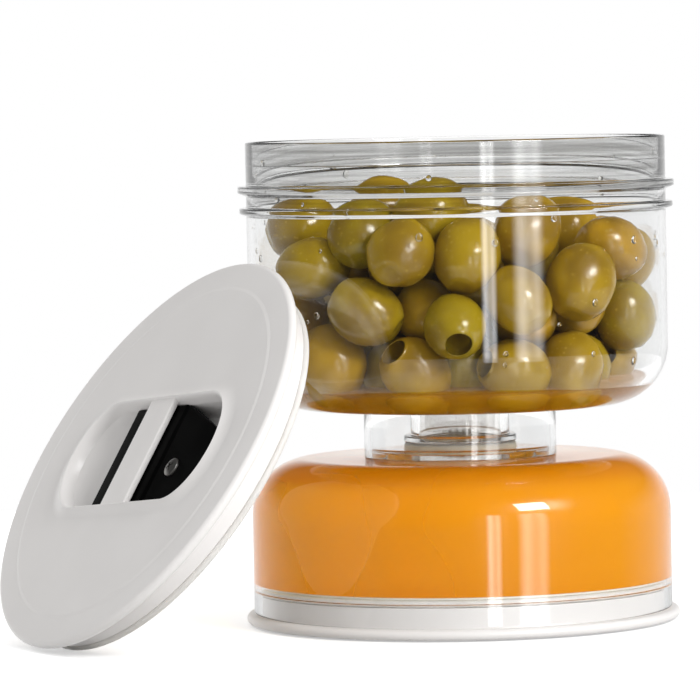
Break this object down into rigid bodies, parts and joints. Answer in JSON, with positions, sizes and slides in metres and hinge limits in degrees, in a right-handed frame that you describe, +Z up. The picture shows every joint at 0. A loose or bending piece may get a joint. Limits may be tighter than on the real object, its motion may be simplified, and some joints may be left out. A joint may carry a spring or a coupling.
{
  "type": "pickle jar with strainer",
  "caption": "Clear hourglass pickle jar: an upper vessel drains through a strainer and neck into a lower vessel, each closed by a white plug lid with a finger well.",
  "frame": {"origin": "centre of the base lid's face, on the table", "axes": "+Z up the jar's axis, +X to the right and +Y away from the viewer of the picture"},
  "size_m": [0.1802, 0.1572, 0.129],
  "materials": {
    "clear_plastic": "clear, polished",
    "white_plastic": "satin moulded",
    "black_plastic": "satin moulded",
    "silicone": "soft, matt",
    "steel": "bright"
  },
  "bodies": {
    "base_lid": {"base_cover": "white_plastic", "base_well": "white_plastic", "base_liner": "white_plastic", "base_gasket": "silicone", "base_rocker_pin": "steel", "base_rocker_spring": "steel"},
    "base_vent": {"base_rocker": "black_plastic", "base_vent_screw": "steel", "base_vent_seal": "silicone"},
    "lower": {"lower_vessel": "clear_plastic", "neck_collar": "clear_plastic"},
    "neck_seal": {"spout_gasket": "silicone"},
    "upper": {"upper_vessel": "clear_plastic", "strainer": "clear_plastic"},
    "top_lid": {"top_cover": "white_plastic", "top_well": "white_plastic", "top_liner": "white_plastic", "top_gasket": "silicone", "top_rocker_pin": "steel", "top_rocker_spring": "steel"},
    "top_vent": {"top_rocker": "black_plastic", "top_vent_screw": "steel", "top_vent_seal": "silicone"}
  },
  "joints": [
    {"name": "base_pull", "type": "slide", "parent": "base_lid", "child": "lower", "axis": [0, 0, 1], "range_m": [0, 0.012]},
    {"name": "neck_twist", "type": "hinge", "parent": "lower", "child": "neck_seal", "pos_m": [0, 0, 0.0465], "axis": [0, 0, 1], "range_deg": [0, 60]},
    {"name": "neck_lift", "type": "slide", "parent": "neck_seal", "child": "upper", "axis": [0, 0, 1], "range_m": [0, 0.025]},
    {"name": "lid_tip", "type": "hinge", "parent": "base_lid", "child": "top_lid", "pos_m": [-0.10912, -0.06149, 0.00237], "axis": [0.4909, -0.8712, 0], "range_deg": [0, 123.9]},
    {"name": "top_vent_rock", "type": "hinge", "parent": "top_lid", "child": "top_vent", "pos_m": [-0.07991, -0.04275, 0.04703], "axis": [-0.425, -0.3793, -0.8219], "range_deg": [0, 3.5], "stiffness_Nm_per_rad": 0.25},
    {"name": "base_vent_rock", "type": "hinge", "parent": "base_lid", "child": "base_vent", "pos_m": [-0.002, 0, 0.0054], "axis": [0, 1, 0], "range_deg": [0, 3.5], "stiffness_Nm_per_rad": 0.25}
  ]
}
